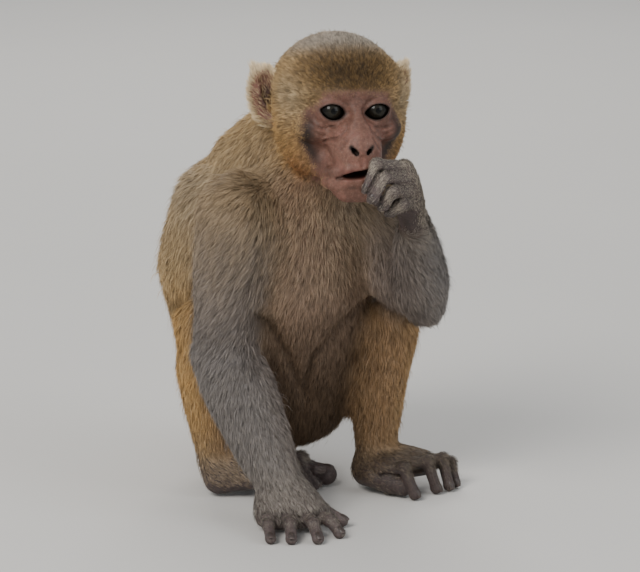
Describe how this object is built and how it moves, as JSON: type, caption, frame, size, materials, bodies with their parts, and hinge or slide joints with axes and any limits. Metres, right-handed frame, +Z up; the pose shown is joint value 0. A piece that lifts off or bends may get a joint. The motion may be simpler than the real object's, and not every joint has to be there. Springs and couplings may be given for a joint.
{
  "type": "rhesus macaque, squatting figure",
  "caption": "Life-size still model of a young rhesus macaque, squatting with one hand on the floor and the other at its mouth.",
  "frame": {"origin": "on the floor, at the middle of the outline seen from above", "axes": "+Z up, the trunk faces -Y, the animal's left side is at +X"},
  "size_m": [0.2278, 0.3468, 0.3448],
  "materials": {
    "coat_olive": "olive-brown fur with buff tips",
    "coat_grey": "cool grey fur with pale streaks",
    "coat_gold": "golden-orange fur",
    "coat_buff": "short buff and olive fur round a bare pink-brown face",
    "bare_skin": "bare pinkish skin with a thin fringe of hair",
    "hand_skin": "grey-brown skin with sparse pale hair and dark nails",
    "eye": "wet dark grey-green iris with a black rim"
  },
  "bodies": {
    "root": {"ear_left": "bare_skin", "ear_right": "bare_skin", "eye_left": "eye", "eye_right": "eye", "finger_index_left": "hand_skin", "finger_index_right": "hand_skin", "finger_little_left": "hand_skin", "finger_little_right": "hand_skin", "finger_middle_left": "hand_skin", "finger_middle_right": "hand_skin", "finger_ring_left": "hand_skin", "finger_ring_right": "hand_skin", "foot_left": "hand_skin", "foot_right": "hand_skin", "forearm_left": "coat_grey", "forearm_right": "coat_grey", "hallux_left": "hand_skin", "hallux_right": "hand_skin", "hand_left": "hand_skin", "hand_right": "hand_skin", "head": "coat_buff", "neck": "coat_buff", "shin_left": "coat_gold", "shin_right": "coat_gold", "tail": "coat_gold", "thigh_left": "coat_gold", "thigh_right": "coat_gold", "thumb_left": "hand_skin", "thumb_right": "hand_skin", "toe_2_left": "hand_skin", "toe_2_right": "hand_skin", "toe_3_left": "hand_skin", "toe_3_right": "hand_skin", "toe_4_left": "hand_skin", "toe_4_right": "hand_skin", "toe_5_left": "hand_skin", "toe_5_right": "hand_skin", "trunk": "coat_olive", "upper_arm_left": "coat_olive", "upper_arm_right": "coat_olive"}
  },
  "joints": []
}
